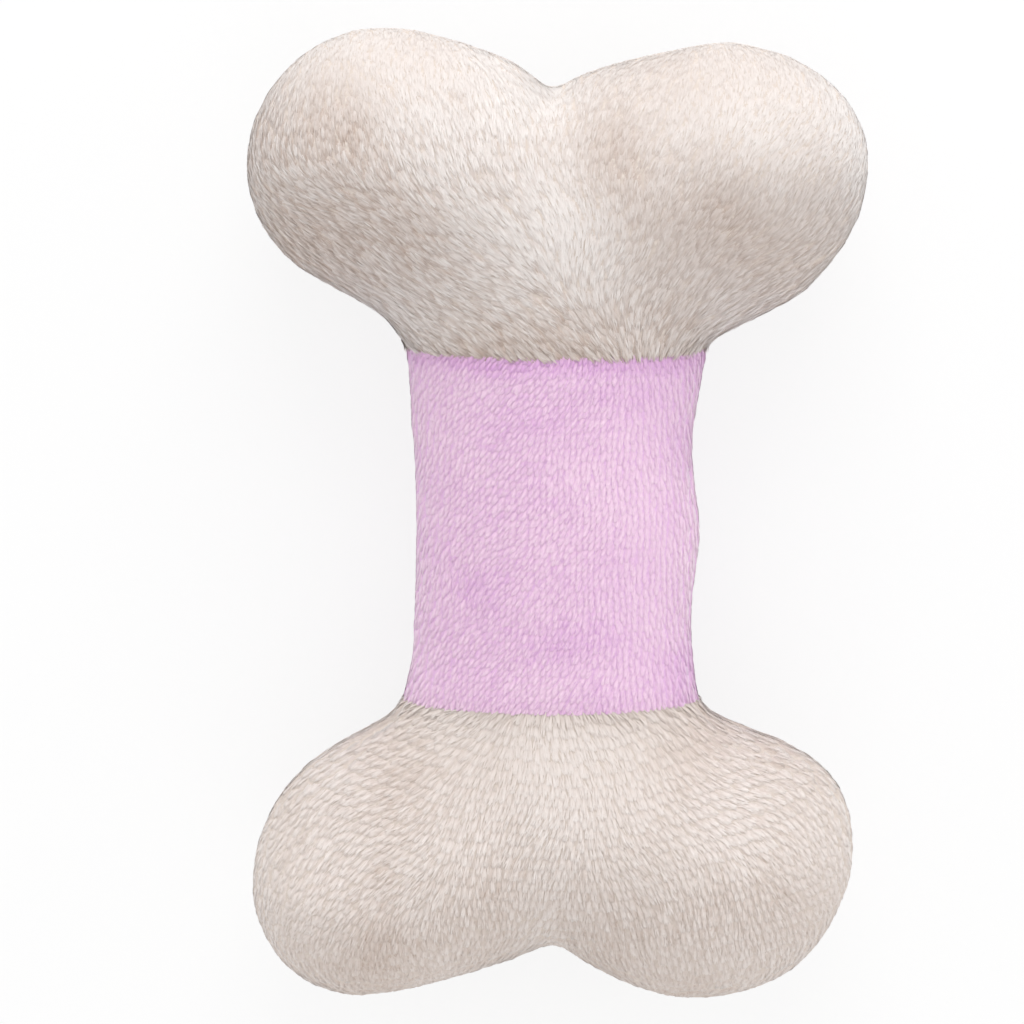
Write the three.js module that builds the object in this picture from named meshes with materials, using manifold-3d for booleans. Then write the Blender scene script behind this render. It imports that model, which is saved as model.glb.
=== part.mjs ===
// A stuffed plush bone for a dog, with a squeaker in its middle, lying on its back.
// Millimetres: +X to the bone's right, +Y to its upper end, +Z out of its front.
import * as THREE from "three";
import { mergeGeometries, mergeVertices } from "three/addons/utils/BufferGeometryUtils.js";
import Module from "manifold-3d";

const wasm = await Module();
wasm.setup();

// The cover's outline, all as distances from the bone's middle. Each knuckle has the half width of
// its neck, its widest point (side, sideAt) and its furthest point along the bone (crest, crestAt).
// flare and shoulder are how far its edge keeps its line past the neck and before the widest point,
// and lip is its rise beside the notch.
const UPPER_LEFT = {
  neck: 26.5, flare: 6.5, shoulder: 20, side: 54.4, sideAt: 61, crest: 85, crestAt: 30.4, lip: 4.6,
};
const UPPER_RIGHT = {
  neck: 25.6, flare: 2.5, shoulder: 23.5, side: 54.4, sideAt: 61, crest: 82.7, crestAt: 27, lip: 2.4,
};
const LOWER_LEFT = {
  neck: 26.3, flare: 2.5, shoulder: 21.5, side: 53.7, sideAt: 64.5, crest: 84.5, crestAt: 35, lip: 3,
};
const LOWER_RIGHT = {
  neck: 24.4, flare: 3, shoulder: 20, side: 51.9, sideAt: 58.3, crest: 85, crestAt: 24.5, lip: 4.9,
};
const UPPER_NOTCH = new THREE.Vector2(-1.4, 75.2);
const LOWER_NOTCH = new THREE.Vector2(-0.7, -75.9);
const UPPER_SEAM = 29.5;
const LOWER_SEAM = 32;
const WAIST_LEFT = 24.9;
const WAIST_RIGHT = 24;
const CREST_RUN = 10;
const NOTCH_RUN = 9;
const FORK_RUN = 22;

// How thick the stuffed bone is, and how deep its own weight flattens it
const KNUCKLE_DEPTH = 48;
const FORK_DEPTH = 44;
const NECK_DEPTH = 38;
const FOOT_FLAT = 0.5;

// Sewing: plush thickness, the cloth folded in along a seam, thread, and the slack between pieces
const PLUSH = 2.2;
const FOLD = 1.2;
const ALLOWANCE = 5;
const THREAD_RADIUS = 0.3;
const THREAD_INSET = 0.45;
const STITCH_PITCH = 2.8;
const STITCH_SWING = 0.35;
const STITCH_INSET = 0.1;
const SLACK = 0.3;

// Squeaker: a hollow disc with a neck along +Y, and the reed whistle plugged into it
const BULB_RADIUS = 17;
const BULB_DEPTH = 19;
const BULB_WALL = 1;
const BULB_SQUARENESS = 2.6;
const BULB_Y = -5;
const MOUTH_RADIUS = 6.5;
const MOUTH_WALL = 1.3;
const MOUTH_END = 20;
const HOUSING_WALL = 1;
const HOUSING_START = 9;
const COLLAR_LENGTH = 2;
const BED_LENGTH = 12;
const CHANNEL_WIDTH = 3;
const CHANNEL_DEPTH = 1.6;
const REED_WIDTH = 5;
const REED_LENGTH = 10;
const REED_THICKNESS = 0.3;
const REED_ROOT = 3.5;
const CLAMP_LENGTH = 4;

const QUARTER_ROUND = 0.5523;
const WELD = 1e-3;
const NECK_STEPS = 3;
const SHOULDER_STEPS = 4;
const CREST_STEPS = 6;
const WAIST_STEPS = 8;
const RIGHT_ANGLE = 90;
const OUTER_ANGLES = [RIGHT_ANGLE, 80, 64, 48, 32, 16];
const INNER_ANGLES = [30, 60, RIGHT_ANGLE];

const HALF_SLACK = SLACK / 2;
const SEAM_HEIGHT = KNUCKLE_DEPTH / 2 - FOOT_FLAT;
const FRONT = 1;
const BACK = -1;
const UPPER = { up: 1, seam: UPPER_SEAM, left: UPPER_LEFT, right: UPPER_RIGHT, notch: UPPER_NOTCH };
const LOWER = { up: -1, seam: LOWER_SEAM, left: LOWER_LEFT, right: LOWER_RIGHT, notch: LOWER_NOTCH };

function seamMiddle(end) {
  return (end.right.neck - end.left.neck) / 2;
}

// A row is a cut through the stuffed form from its sewn edge to the spine of the form.
// outer and inner say how far the cover's two faces lie in from the outline there.
function row(edge, spine, rise, outer = 0, inner = PLUSH) {
  return { edge, spine, rise, outer, inner };
}

// Three rows that fold the cloth inwards at a seam across the bone
function seamRows(rowAt, fold) {
  return [rowAt(0, FOLD, ALLOWANCE), rowAt(fold, 0, ALLOWANCE), rowAt(fold, 0, PLUSH)];
}

// Rows round one knuckle, from its neck to the notch
function knuckleRows(end, knuckle, right, fold) {
  const at = (x, y) => new THREE.Vector2(right * x, end.up * y);
  const start = end.seam + HALF_SLACK;
  const waist = new THREE.Vector2(seamMiddle(end), end.up * start);
  const fork = new THREE.Vector2(end.notch.x, end.up * (end.seam + FORK_RUN));
  const heart = at(knuckle.crestAt, knuckle.sideAt);
  const side = at(knuckle.side, knuckle.sideAt);
  const crest = at(knuckle.crestAt, knuckle.crest);
  const flank = new THREE.CubicBezierCurve(
    at(knuckle.neck, start + FOLD + SLACK),
    at(knuckle.neck, start + FOLD + SLACK + knuckle.flare),
    at(knuckle.side, knuckle.sideAt - knuckle.shoulder),
    side,
  );
  const cap = new THREE.CubicBezierCurve(
    side,
    at(knuckle.side, knuckle.sideAt + QUARTER_ROUND * (knuckle.crest - knuckle.sideAt)),
    at(knuckle.crestAt + QUARTER_ROUND * (knuckle.side - knuckle.crestAt), knuckle.crest),
    crest,
  );
  const dip = new THREE.CubicBezierCurve(
    crest,
    at(knuckle.crestAt - CREST_RUN, knuckle.crest),
    end.notch.clone().add(at(NOTCH_RUN, knuckle.lip)),
    end.notch,
  );
  const flankSteps = NECK_STEPS + SHOULDER_STEPS;
  const rise = (from, to, share) => THREE.MathUtils.lerp(from, to, share) / 2;
  const between = (from, to, share) => new THREE.Vector2().lerpVectors(from, to, share);
  const atSeam = (run, outer, inner) => {
    const shift = new THREE.Vector2(0, end.up * run);
    const edge = at(knuckle.neck, start).add(shift);
    return row(edge, waist.clone().add(shift), NECK_DEPTH / 2, outer, inner);
  };
  const rows = seamRows(atSeam, fold);
  for (let i = 1; i <= NECK_STEPS; i++) {
    const share = i / NECK_STEPS;
    const spine = between(waist, fork, share);
    rows.push(row(flank.getPoint(i / flankSteps), spine, rise(NECK_DEPTH, FORK_DEPTH, share)));
  }
  for (let i = 1; i <= SHOULDER_STEPS; i++) {
    const share = i / SHOULDER_STEPS;
    const edge = flank.getPoint((NECK_STEPS + i) / flankSteps);
    rows.push(row(edge, between(fork, heart, share), rise(FORK_DEPTH, KNUCKLE_DEPTH, share)));
  }
  for (let i = 1; i <= CREST_STEPS; i++) {
    rows.push(row(cap.getPoint(i / CREST_STEPS), heart, KNUCKLE_DEPTH / 2));
  }
  for (let i = 1; i <= SHOULDER_STEPS; i++) {
    const share = i / SHOULDER_STEPS;
    rows.push(row(dip.getPoint(share), between(heart, fork, share), rise(KNUCKLE_DEPTH, FORK_DEPTH, share)));
  }
  return rows;
}

// One run of rows round a whole end of the bone
function endRuns(end, fold) {
  const left = knuckleRows(end, end.left, -1, fold);
  const right = knuckleRows(end, end.right, 1, fold);
  return [[...left, ...right.reverse().slice(1)]];
}

// The band has a run of rows up each side, meeting along its spine
function bandRuns(fold) {
  const low = HALF_SLACK - LOWER_SEAM;
  const high = UPPER_SEAM - HALF_SLACK;
  const length = high - low;
  const side = (right, waist, lowNeck, highNeck) => {
    const belly = 2 * waist - (lowNeck + highNeck) / 2;
    const edge = new THREE.QuadraticBezierCurve(
      new THREE.Vector2(right * lowNeck, low),
      new THREE.Vector2(right * belly, (low + high) / 2),
      new THREE.Vector2(right * highNeck, high),
    );
    const spine = new THREE.LineCurve(
      new THREE.Vector2(seamMiddle(LOWER), low),
      new THREE.Vector2(seamMiddle(UPPER), high),
    );
    const rowAt = (share, outer, inner) =>
      row(edge.getPoint(share), spine.getPoint(share), NECK_DEPTH / 2, outer, inner);
    const rows = seamRows((run, outer, inner) => rowAt(run / length, outer, inner), fold);
    for (let i = 1; i < WAIST_STEPS; i++) {
      rows.push(rowAt(i / WAIST_STEPS));
    }
    const top = seamRows((run, outer, inner) => rowAt(1 - run / length, outer, inner), fold);
    return [...rows, ...top.reverse()];
  };
  const left = side(-1, WAIST_LEFT, LOWER_LEFT.neck, UPPER_LEFT.neck);
  const right = side(1, WAIST_RIGHT, LOWER_RIGHT.neck, UPPER_RIGHT.neck);
  return [left, right.reverse()];
}

// The point of a row that lies inset from its edge and height above the plane of the edge seam
function place(cut, inset, height) {
  const way = cut.spine.clone().sub(cut.edge).normalize();
  return new THREE.Vector3(cut.edge.x + way.x * inset, cut.edge.y + way.y * inset, height);
}

// A point on the swollen face that lies inset from the outline all over
function dome(cut, inset, degrees) {
  const angle = THREE.MathUtils.degToRad(degrees);
  const reach = cut.edge.distanceTo(cut.spine) - inset;
  return place(cut, inset + reach * (1 - Math.cos(angle)), (cut.rise - inset) * Math.sin(angle));
}

// Where that face stands at a given height, for the step beside a seam
function domeAt(cut, inset, height) {
  return dome(cut, inset, THREE.MathUtils.radToDeg(Math.asin(height / (cut.rise - inset))));
}

function panelProfile(cut) {
  const foldTop = HALF_SLACK + FOLD;
  return [
    ...OUTER_ANGLES.map((angle) => dome(cut, cut.outer, angle)),
    place(cut, cut.outer, foldTop),
    place(cut, FOLD, HALF_SLACK),
    place(cut, ALLOWANCE, HALF_SLACK),
    place(cut, ALLOWANCE, foldTop),
    domeAt(cut, cut.inner, foldTop),
    ...INNER_ANGLES.map((angle) => dome(cut, cut.inner, angle)),
  ];
}

// The upper face of the filling in a row, down to the step over the folded seam
function fillingTop(cut) {
  const inset = cut.inner + SLACK;
  const step = HALF_SLACK + FOLD + SLACK;
  return [
    ...INNER_ANGLES.map((angle) => dome(cut, inset, angle)).reverse(),
    domeAt(cut, inset, step),
    place(cut, ALLOWANCE + SLACK, step),
  ];
}

function mirrored(points) {
  return points.map((p) => new THREE.Vector3(p.x, p.y, -p.z));
}

function fillingProfile(cut) {
  const top = fillingTop(cut);
  return [...top, ...mirrored(top).reverse()];
}

function padProfile(cut) {
  const reach = cut.edge.distanceTo(cut.spine);
  return [...fillingTop(cut), place(cut, ALLOWANCE + SLACK, HALF_SLACK), place(cut, reach, HALF_SLACK)];
}

// Triangles across one end of a run, facing along the order of its profile unless turned
function capFaces(profile, offset, turned) {
  const flat = profile.map((p) => new THREE.Vector2(p.x, p.z));
  const order = Math.sign(THREE.ShapeUtils.area(flat));
  return THREE.ShapeUtils.triangulateShape(flat, []).flatMap(([a, b, c]) => {
    const along = Math.sign(THREE.ShapeUtils.area([flat[a], flat[b], flat[c]])) === order;
    const face = along === turned ? [a, c, b] : [a, b, c];
    return face.map((k) => k + offset);
  });
}

// The skin over one run of profiles, capped at both ends
function runSkin(profiles) {
  const size = profiles[0].length;
  const last = profiles.length - 1;
  const points = profiles.flat();
  const faces = [...capFaces(profiles[0], 0, false), ...capFaces(profiles[last], last * size, true)];
  for (let i = 0; i < last; i++) {
    for (let j = 0; j + 1 < size; j++) {
      const a = i * size + j;
      const b = a + size;
      if (points[a].distanceTo(points[b + 1]) < points[a + 1].distanceTo(points[b])) {
        faces.push(a, b, b + 1, a, b + 1, a + 1);
      } else {
        faces.push(a, b, a + 1, a + 1, b, b + 1);
      }
    }
  }
  return new THREE.BufferGeometry().setFromPoints(points).setIndex(faces);
}

function volumeOf(geometry) {
  const position = geometry.getAttribute("position");
  const corner = (k) => new THREE.Vector3().fromBufferAttribute(position, geometry.index.getX(k));
  let volume = 0;
  for (let k = 0; k < geometry.index.count; k += 3) {
    volume += corner(k).dot(corner(k + 1).cross(corner(k + 2))) / 6;
  }
  return volume;
}

// One closed form from runs that meet along the spine, facing outwards
function closeForm(runs) {
  const form = mergeVertices(mergeGeometries(runs.map(runSkin)), WELD);
  const faces = [];
  for (let k = 0; k < form.index.count; k += 3) {
    const [a, b, c] = [0, 1, 2].map((step) => form.index.getX(k + step));
    if (a !== b && b !== c && c !== a) {
      faces.push(a, b, c);
    }
  }
  form.setIndex(faces);
  if (volumeOf(form) < 0) {
    form.setIndex(faces.reverse());
  }
  return form;
}

function solidOf(geometry) {
  const bare = new THREE.BufferGeometry();
  bare.setAttribute("position", geometry.getAttribute("position"));
  bare.setIndex(geometry.index);
  const welded = mergeVertices(bare, WELD);
  return new wasm.Manifold(new wasm.Mesh({
    numProp: 3,
    vertProperties: new Float32Array(welded.getAttribute("position").array),
    triVerts: new Uint32Array(welded.index.array),
  }));
}

function geometryOf(solid) {
  const mesh = solid.getMesh();
  const geometry = new THREE.BufferGeometry();
  geometry.setAttribute("position", new THREE.BufferAttribute(mesh.vertProperties, mesh.numProp));
  geometry.setIndex(new THREE.BufferAttribute(mesh.triVerts, 1));
  return geometry;
}

// A plush panel, flattened where it lies on the floor
function panel(runs, face) {
  const onFloor = (p) => new THREE.Vector3(p.x, p.y, Math.max(face * p.z, -SEAM_HEIGHT));
  return closeForm(runs.map((run) => run.map((cut) => panelProfile(cut).map(onFloor))));
}

// The filling of one knuckle: the end's filling on one side of its fork
function wad(end, right) {
  const runs = endRuns(end, FOLD + SLACK);
  const whole = solidOf(closeForm(runs.map((run) => run.map(fillingProfile))));
  const size = 2 * Math.max(end.left.crest, end.right.crest);
  const half = new THREE.BoxGeometry(size, size, size);
  half.translate(end.notch.x + right * (size + SLACK) / 2, end.up * size / 2, 0);
  return geometryOf(whole.intersect(solidOf(half)));
}

// The filling of the band, hollowed for the squeaker
function pad(face) {
  const toFace = (p) => new THREE.Vector3(p.x, p.y, face * p.z);
  const runs = bandRuns(FOLD + SLACK).map((run) => run.map((cut) => padProfile(cut).map(toFace)));
  return geometryOf(solidOf(closeForm(runs)).subtract(squeakerRoom()));
}

function tube(curve, steps) {
  const shape = new THREE.Shape().absarc(0, 0, THREAD_RADIUS, 0, 2 * Math.PI);
  return new THREE.ExtrudeGeometry(shape, { steps, curveSegments: 3, extrudePath: curve });
}

// Thread along the edge seam, in the crease between the front and back panels
function edgeThread(run) {
  const cuts = run.filter((cut) => cut.inner === PLUSH);
  const curve = new THREE.CatmullRomCurve3(cuts.map((cut) => place(cut, THREAD_INSET, 0)));
  return tube(curve, 2 * cuts.length);
}

// Hand stitches that close the band, swinging from one panel's fold to the other's
function ladderThread(run) {
  const cuts = run.filter((cut) => cut.inner === PLUSH);
  const edge = new THREE.CatmullRomCurve3(cuts.map((cut) => place(cut, STITCH_INSET, 0)));
  const count = Math.round(edge.getLength() / STITCH_PITCH);
  const points = edge.getSpacedPoints(count);
  points.forEach((p, i) => p.setZ(i % 2 ? STITCH_SWING : -STITCH_SWING));
  return tube(new THREE.CatmullRomCurve3(points), 2 * count);
}

// Thread across one face of the bone, in the crease between an end and the band
function crossThread(end, face) {
  const clear = THREE.MathUtils.degToRad(7);
  const halfWidth = (end.left.neck + end.right.neck) / 2 - THREAD_INSET;
  const arch = new THREE.EllipseCurve(
    seamMiddle(end), 0, halfWidth, NECK_DEPTH / 2 - THREAD_INSET, clear, Math.PI - clear,
  );
  const steps = 20;
  const points = arch.getPoints(steps).map((p) => new THREE.Vector3(p.x, end.up * end.seam, face * p.y));
  return tube(new THREE.CatmullRomCurve3(points), steps);
}

// A rounded disc about Z
function disc(radius, depth) {
  const power = 2 / BULB_SQUARENESS;
  const steps = 10;
  const profile = [];
  for (let i = 0; i <= steps; i++) {
    const angle = Math.PI * (i / steps - 0.5);
    const out = i % steps ? radius * Math.cos(angle) ** power : 0;
    profile.push(new THREE.Vector2(out, Math.sign(angle) * (depth / 2) * Math.abs(Math.sin(angle)) ** power));
  }
  return new THREE.LatheGeometry(profile, 28).rotateX(Math.PI / 2);
}

function rod(radius, from, to) {
  return new THREE.CylinderGeometry(radius, radius, to - from, 24).translate(0, (from + to) / 2, 0);
}

const COLLAR_START = MOUTH_END + SLACK;
const COLLAR_END = COLLAR_START + COLLAR_LENGTH;
const MOUTH_BORE = MOUTH_RADIUS - MOUTH_WALL;
const HOUSING_RADIUS = MOUTH_BORE - SLACK;
const HOUSING_BORE = HOUSING_RADIUS - HOUSING_WALL;
const BED_RADIUS = HOUSING_BORE - SLACK;
const REED_LEVEL = REED_THICKNESS / 2 + SLACK;

// The room the squeaker needs inside the filling
function squeakerRoom() {
  const bulb = solidOf(disc(BULB_RADIUS + SLACK, BULB_DEPTH + 2 * SLACK));
  return bulb.add(solidOf(rod(MOUTH_RADIUS + SLACK, 0, COLLAR_END + SLACK))).translate([0, BULB_Y, 0]);
}

function bulb() {
  const skin = solidOf(disc(BULB_RADIUS, BULB_DEPTH)).add(solidOf(rod(MOUTH_RADIUS, 0, MOUTH_END)));
  const air = solidOf(disc(BULB_RADIUS - BULB_WALL, BULB_DEPTH - 2 * BULB_WALL));
  return geometryOf(skin.subtract(air).subtract(solidOf(rod(MOUTH_BORE, 0, MOUTH_END + SLACK))));
}

function housing() {
  const corners = [
    [HOUSING_BORE, HOUSING_START],
    [HOUSING_RADIUS, HOUSING_START],
    [HOUSING_RADIUS, COLLAR_START],
    [MOUTH_RADIUS, COLLAR_START],
    [MOUTH_RADIUS, COLLAR_END],
    [HOUSING_BORE, COLLAR_END],
    [HOUSING_BORE, HOUSING_START],
  ];
  return new THREE.LatheGeometry(corners.map(([x, y]) => new THREE.Vector2(x, y)), 24);
}

// A shape seen along the whistle, drawn back from its outer end
function drawBack(shape, length) {
  const options = { depth: length, bevelEnabled: false, curveSegments: 10 };
  const geometry = new THREE.ExtrudeGeometry(shape, options);
  return geometry.rotateX(Math.PI / 2).translate(0, COLLAR_END, 0);
}

// Half-round bed under the reed, with the air channel along its flat top
function reedBed() {
  const tilt = Math.asin(REED_LEVEL / BED_RADIUS);
  const shape = new THREE.Shape().absarc(0, 0, BED_RADIUS, Math.PI + tilt, 2 * Math.PI - tilt);
  shape.lineTo(CHANNEL_WIDTH / 2, -REED_LEVEL);
  shape.lineTo(CHANNEL_WIDTH / 2, -REED_LEVEL - CHANNEL_DEPTH);
  shape.lineTo(-CHANNEL_WIDTH / 2, -REED_LEVEL - CHANNEL_DEPTH);
  shape.lineTo(-CHANNEL_WIDTH / 2, -REED_LEVEL);
  return drawBack(shape, BED_LENGTH);
}

function reedClamp() {
  const tilt = Math.asin(REED_LEVEL / BED_RADIUS);
  const shape = new THREE.Shape().absarc(0, 0, BED_RADIUS, tilt, Math.PI - tilt);
  return drawBack(shape, CLAMP_LENGTH);
}

// The reed lies between bed and clamp and is free beyond the clamp's inner edge
function reed() {
  const rootEnd = COLLAR_END - CLAMP_LENGTH + REED_ROOT;
  return new THREE.BoxGeometry(REED_WIDTH, REED_LENGTH, REED_THICKNESS)
    .translate(0, rootEnd - REED_LENGTH / 2, 0);
}

function piece(group, name, geometry, color, roughness) {
  const mesh = new THREE.Mesh(geometry, new THREE.MeshStandardMaterial({ color, roughness }));
  mesh.name = name;
  group.add(mesh);
}

const GREY_PLUSH = 0xdbd0c9;
const LILAC_PLUSH = 0xe8c8e2;
const FIBREFILL = 0xf4f2ee;
const GREY_THREAD = 0xb9aba3;
const LILAC_THREAD = 0xcfa8cc;
const WHITE_VINYL = 0xf1efe8;
const WHITE_PLASTIC = 0xe9e9e6;
const CLEAR_FILM = 0xd6dde0;

function sewnCover() {
  const group = new THREE.Group();
  group.position.z = SEAM_HEIGHT;
  const [leftRun, rightRun] = bandRuns(FOLD);
  for (const [name, end] of [["upper", UPPER], ["lower", LOWER]]) {
    const runs = endRuns(end, FOLD);
    piece(group, `${name}_front_panel`, panel(runs, FRONT), GREY_PLUSH, 0.95);
    piece(group, `${name}_back_panel`, panel(runs, BACK), GREY_PLUSH, 0.95);
    piece(group, `${name}_left_stuffing`, wad(end, -1), FIBREFILL, 1);
    piece(group, `${name}_right_stuffing`, wad(end, 1), FIBREFILL, 1);
    piece(group, `${name}_edge_thread`, edgeThread(runs[0]), GREY_THREAD, 0.8);
    piece(group, `${name}_front_thread`, crossThread(end, FRONT), GREY_THREAD, 0.8);
    piece(group, `${name}_back_thread`, crossThread(end, BACK), GREY_THREAD, 0.8);
  }
  piece(group, "centre_front_panel", panel([leftRun, rightRun], FRONT), LILAC_PLUSH, 0.95);
  piece(group, "centre_back_panel", panel([leftRun, rightRun], BACK), LILAC_PLUSH, 0.95);
  piece(group, "centre_front_stuffing", pad(FRONT), FIBREFILL, 1);
  piece(group, "centre_back_stuffing", pad(BACK), FIBREFILL, 1);
  piece(group, "left_side_thread", edgeThread(leftRun), LILAC_THREAD, 0.8);
  piece(group, "closing_stitch", ladderThread(rightRun), LILAC_THREAD, 0.8);
  return group;
}

function squeaker() {
  const group = new THREE.Group();
  group.position.set(0, BULB_Y, SEAM_HEIGHT);
  piece(group, "squeaker_bulb", bulb(), WHITE_VINYL, 0.5);
  piece(group, "whistle_housing", housing(), WHITE_PLASTIC, 0.4);
  piece(group, "reed_bed", reedBed(), WHITE_PLASTIC, 0.4);
  piece(group, "reed_clamp", reedClamp(), WHITE_PLASTIC, 0.4);
  piece(group, "reed_tongue", reed(), CLEAR_FILM, 0.3);
  return group;
}

const toy = new THREE.Group();
toy.name = "squeaky_plush_bone";
toy.add(sewnCover(), squeaker());

export default toy;
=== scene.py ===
import math
import bmesh
import bpy
import numpy as np
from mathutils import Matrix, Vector, kdtree, noise
from mathutils.bvhtree import BVHTree


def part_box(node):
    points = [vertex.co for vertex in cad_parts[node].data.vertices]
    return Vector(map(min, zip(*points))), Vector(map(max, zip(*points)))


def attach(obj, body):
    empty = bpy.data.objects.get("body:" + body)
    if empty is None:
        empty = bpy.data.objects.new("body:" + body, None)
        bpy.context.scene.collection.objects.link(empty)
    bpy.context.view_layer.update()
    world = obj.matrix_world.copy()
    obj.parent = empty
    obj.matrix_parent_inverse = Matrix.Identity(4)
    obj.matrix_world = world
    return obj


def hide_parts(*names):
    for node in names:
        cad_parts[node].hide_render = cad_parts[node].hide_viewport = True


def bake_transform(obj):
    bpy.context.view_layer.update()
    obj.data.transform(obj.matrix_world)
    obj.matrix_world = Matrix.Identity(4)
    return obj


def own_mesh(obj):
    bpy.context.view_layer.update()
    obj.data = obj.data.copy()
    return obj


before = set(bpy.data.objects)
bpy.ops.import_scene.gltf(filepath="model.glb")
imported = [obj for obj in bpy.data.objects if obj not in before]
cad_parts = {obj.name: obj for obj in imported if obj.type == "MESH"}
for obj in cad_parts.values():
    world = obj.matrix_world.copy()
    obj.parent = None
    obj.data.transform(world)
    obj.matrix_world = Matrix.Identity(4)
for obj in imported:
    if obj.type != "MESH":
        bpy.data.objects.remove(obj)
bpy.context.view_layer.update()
scene = bpy.context.scene
mm = 0.001
tiny = 1e-6                                      # closer than this counts as touching
sharpAngle = math.radians(50)                    # sharper edges than this stay crisp
print("frame loaded:", len(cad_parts), "nodes")


def middleOf(node, axis):
    low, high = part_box(node)
    return (low[axis] + high[axis]) / 2


seamZ = middleOf("left_side_thread", 2)          # plane of the edge seam
upperSeamY = middleOf("upper_front_thread", 1)
lowerSeamY = middleOf("lower_front_thread", 1)
bandY = (upperSeamY + lowerSeamY) / 2
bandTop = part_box("centre_front_panel")[1][2]


def tint(code):                                  # hex colour to linear
    parts = [int(code[i:i + 2], 16) / 255 for i in (1, 3, 5)]
    return [p / 12.92 if p <= 0.04045 else ((p + 0.055) / 1.055) ** 2.4 for p in parts] + [1]


def smoothStep(value, low, high):
    t = np.clip((value - low) / (high - low), 0, 1)
    return t * t * (3 - 2 * t)


class Wire:                                      # a node's output that can be used in sums
    def __init__(self, tree, socket=None):
        self.tree = tree
        self.socket = socket

    def node(self, kind, settings=None, inputs=None, output=0):
        made = self.tree.nodes.new(kind)
        for key, value in (settings or {}).items():
            if key == "stops":
                ramp = made.color_ramp.elements
                while len(ramp) < len(value):
                    ramp.new(0.5)
                for element, (place, colour) in zip(ramp, value):
                    element.position = place
                    element.color = colour
            else:
                setattr(made, key, value)
        for key, value in (inputs or {}).items():
            if isinstance(value, Wire):
                self.tree.links.new(value.socket, made.inputs[key])
            else:
                made.inputs[key].default_value = value
        return Wire(self.tree, made.outputs[output])

    def sum(self, operation, first, second):
        return self.node("ShaderNodeMath", {"operation": operation}, {0: first, 1: second})

    def __add__(self, other):
        return self.sum("ADD", self, other)

    def __radd__(self, other):
        return self.sum("ADD", other, self)

    def __sub__(self, other):
        return self.sum("SUBTRACT", self, other)

    def __rsub__(self, other):
        return self.sum("SUBTRACT", other, self)

    def __mul__(self, other):
        return self.sum("MULTIPLY", self, other)

    def __rmul__(self, other):
        return self.sum("MULTIPLY", other, self)

    def into(self, socket):
        self.tree.links.new(self.socket, socket)


def newMaterial(name, **fixed):                  # fixed values go on the shader's own sockets
    material = bpy.data.materials.new(name)
    material.use_nodes = True
    shader = material.node_tree.nodes["Principled BSDF"]
    for key, value in fixed.items():
        shader.inputs[key.replace("_", " ")].default_value = value
    return material, Wire(material.node_tree), shader


def blendColours(wire, factor, first, second):
    return wire.node("ShaderNodeMix", {"data_type": "RGBA"}, {0: factor, 6: first, 7: second}, output=2)


def addBump(wire, shader, height, look):
    bump = wire.node("ShaderNodeBump", None,
                     {"Strength": look["bump"], "Distance": look["bumpDepth"], "Height": height})
    bump.into(shader.inputs["Normal"])


def addObject(name, bm):
    mesh = bpy.data.meshes.new(name)
    bm.to_mesh(mesh)
    bm.free()
    obj = bpy.data.objects.new(name, mesh)
    scene.collection.objects.link(obj)
    return obj


def openMesh(obj):
    bm = bmesh.new()
    bm.from_mesh(obj.data)
    return bm


def closeMesh(bm, obj):
    bm.to_mesh(obj.data)
    bm.free()


def applyModifiers(obj):
    graph = bpy.context.evaluated_depsgraph_get()
    mesh = bpy.data.meshes.new_from_object(obj.evaluated_get(graph))
    obj.modifiers.clear()
    obj.data = mesh


def remeshEvenly(obj, size):
    remesh = obj.modifiers.new("remesh", "REMESH")
    remesh.mode = "VOXEL"
    remesh.voxel_size = size
    applyModifiers(obj)


def soften(bm, times):
    every = {"use_axis_x": True, "use_axis_y": True, "use_axis_z": True}
    for _ in range(times):
        bmesh.ops.smooth_vert(bm, verts=bm.verts, factor=0.5, **every)


def nodeCopy(*names):                            # merged copy of CAD nodes
    bm = bmesh.new()
    for name in names:
        bm.from_mesh(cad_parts[name].data)
    bmesh.ops.remove_doubles(bm, verts=bm.verts, dist=tiny)
    return bm


def finishWith(obj, material):
    obj.data.materials.clear()
    obj.data.materials.append(material)
    if not obj.data.has_custom_normals:
        obj.data.shade_smooth()
        obj.data.set_sharp_from_angle(angle=sharpAngle)
    return obj


# Camera, light and floor
cameraSetup = {
    "tilt": 7.5,                                 # degrees towards the upper end
    "distance": 1.2,
    "viewWidth": 178.4 * mm,                     # at the edge seam
    "aim": (-8.07 * mm, 0.5 * mm),
    "sensor": 36,
}
lightSetup = {
    "key": {"place": (0.05, 0.74, 0.42), "size": 0.55, "watts": 3.8},
    "fill": {"place": (0.1, -0.6, 0.5), "size": 0.6, "watts": 1.0},
    "left": {"place": (-0.8, 0.1, 0.25), "size": 0.5, "watts": 0.6},
    "right": {"place": (0.8, 0.1, 0.25), "size": 0.5, "watts": 0.8},
    "sky": 0.75,
}
floorLook = {
    "halfSize": 3, "drop": 0.2 * mm, "colour": (0.9, 0.9, 0.9, 1), "roughness": 0.9,
    "whiteShare": 0.8,                           # how white the camera sees it
}
plainWhite = (1, 1, 1, 1)


def placeCamera(setup):
    data = bpy.data.cameras.new("camera")
    data.sensor_width = setup["sensor"]
    data.lens = data.sensor_width * setup["distance"] / setup["viewWidth"]
    camera = bpy.data.objects.new("camera", data)
    scene.collection.objects.link(camera)
    tilt = math.radians(setup["tilt"])
    back = Vector((0, math.sin(tilt), math.cos(tilt)))
    camera.location = Vector((*setup["aim"], seamZ)) + back * setup["distance"]
    camera.rotation_euler = (-tilt, 0, 0)
    scene.camera = camera


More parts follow.
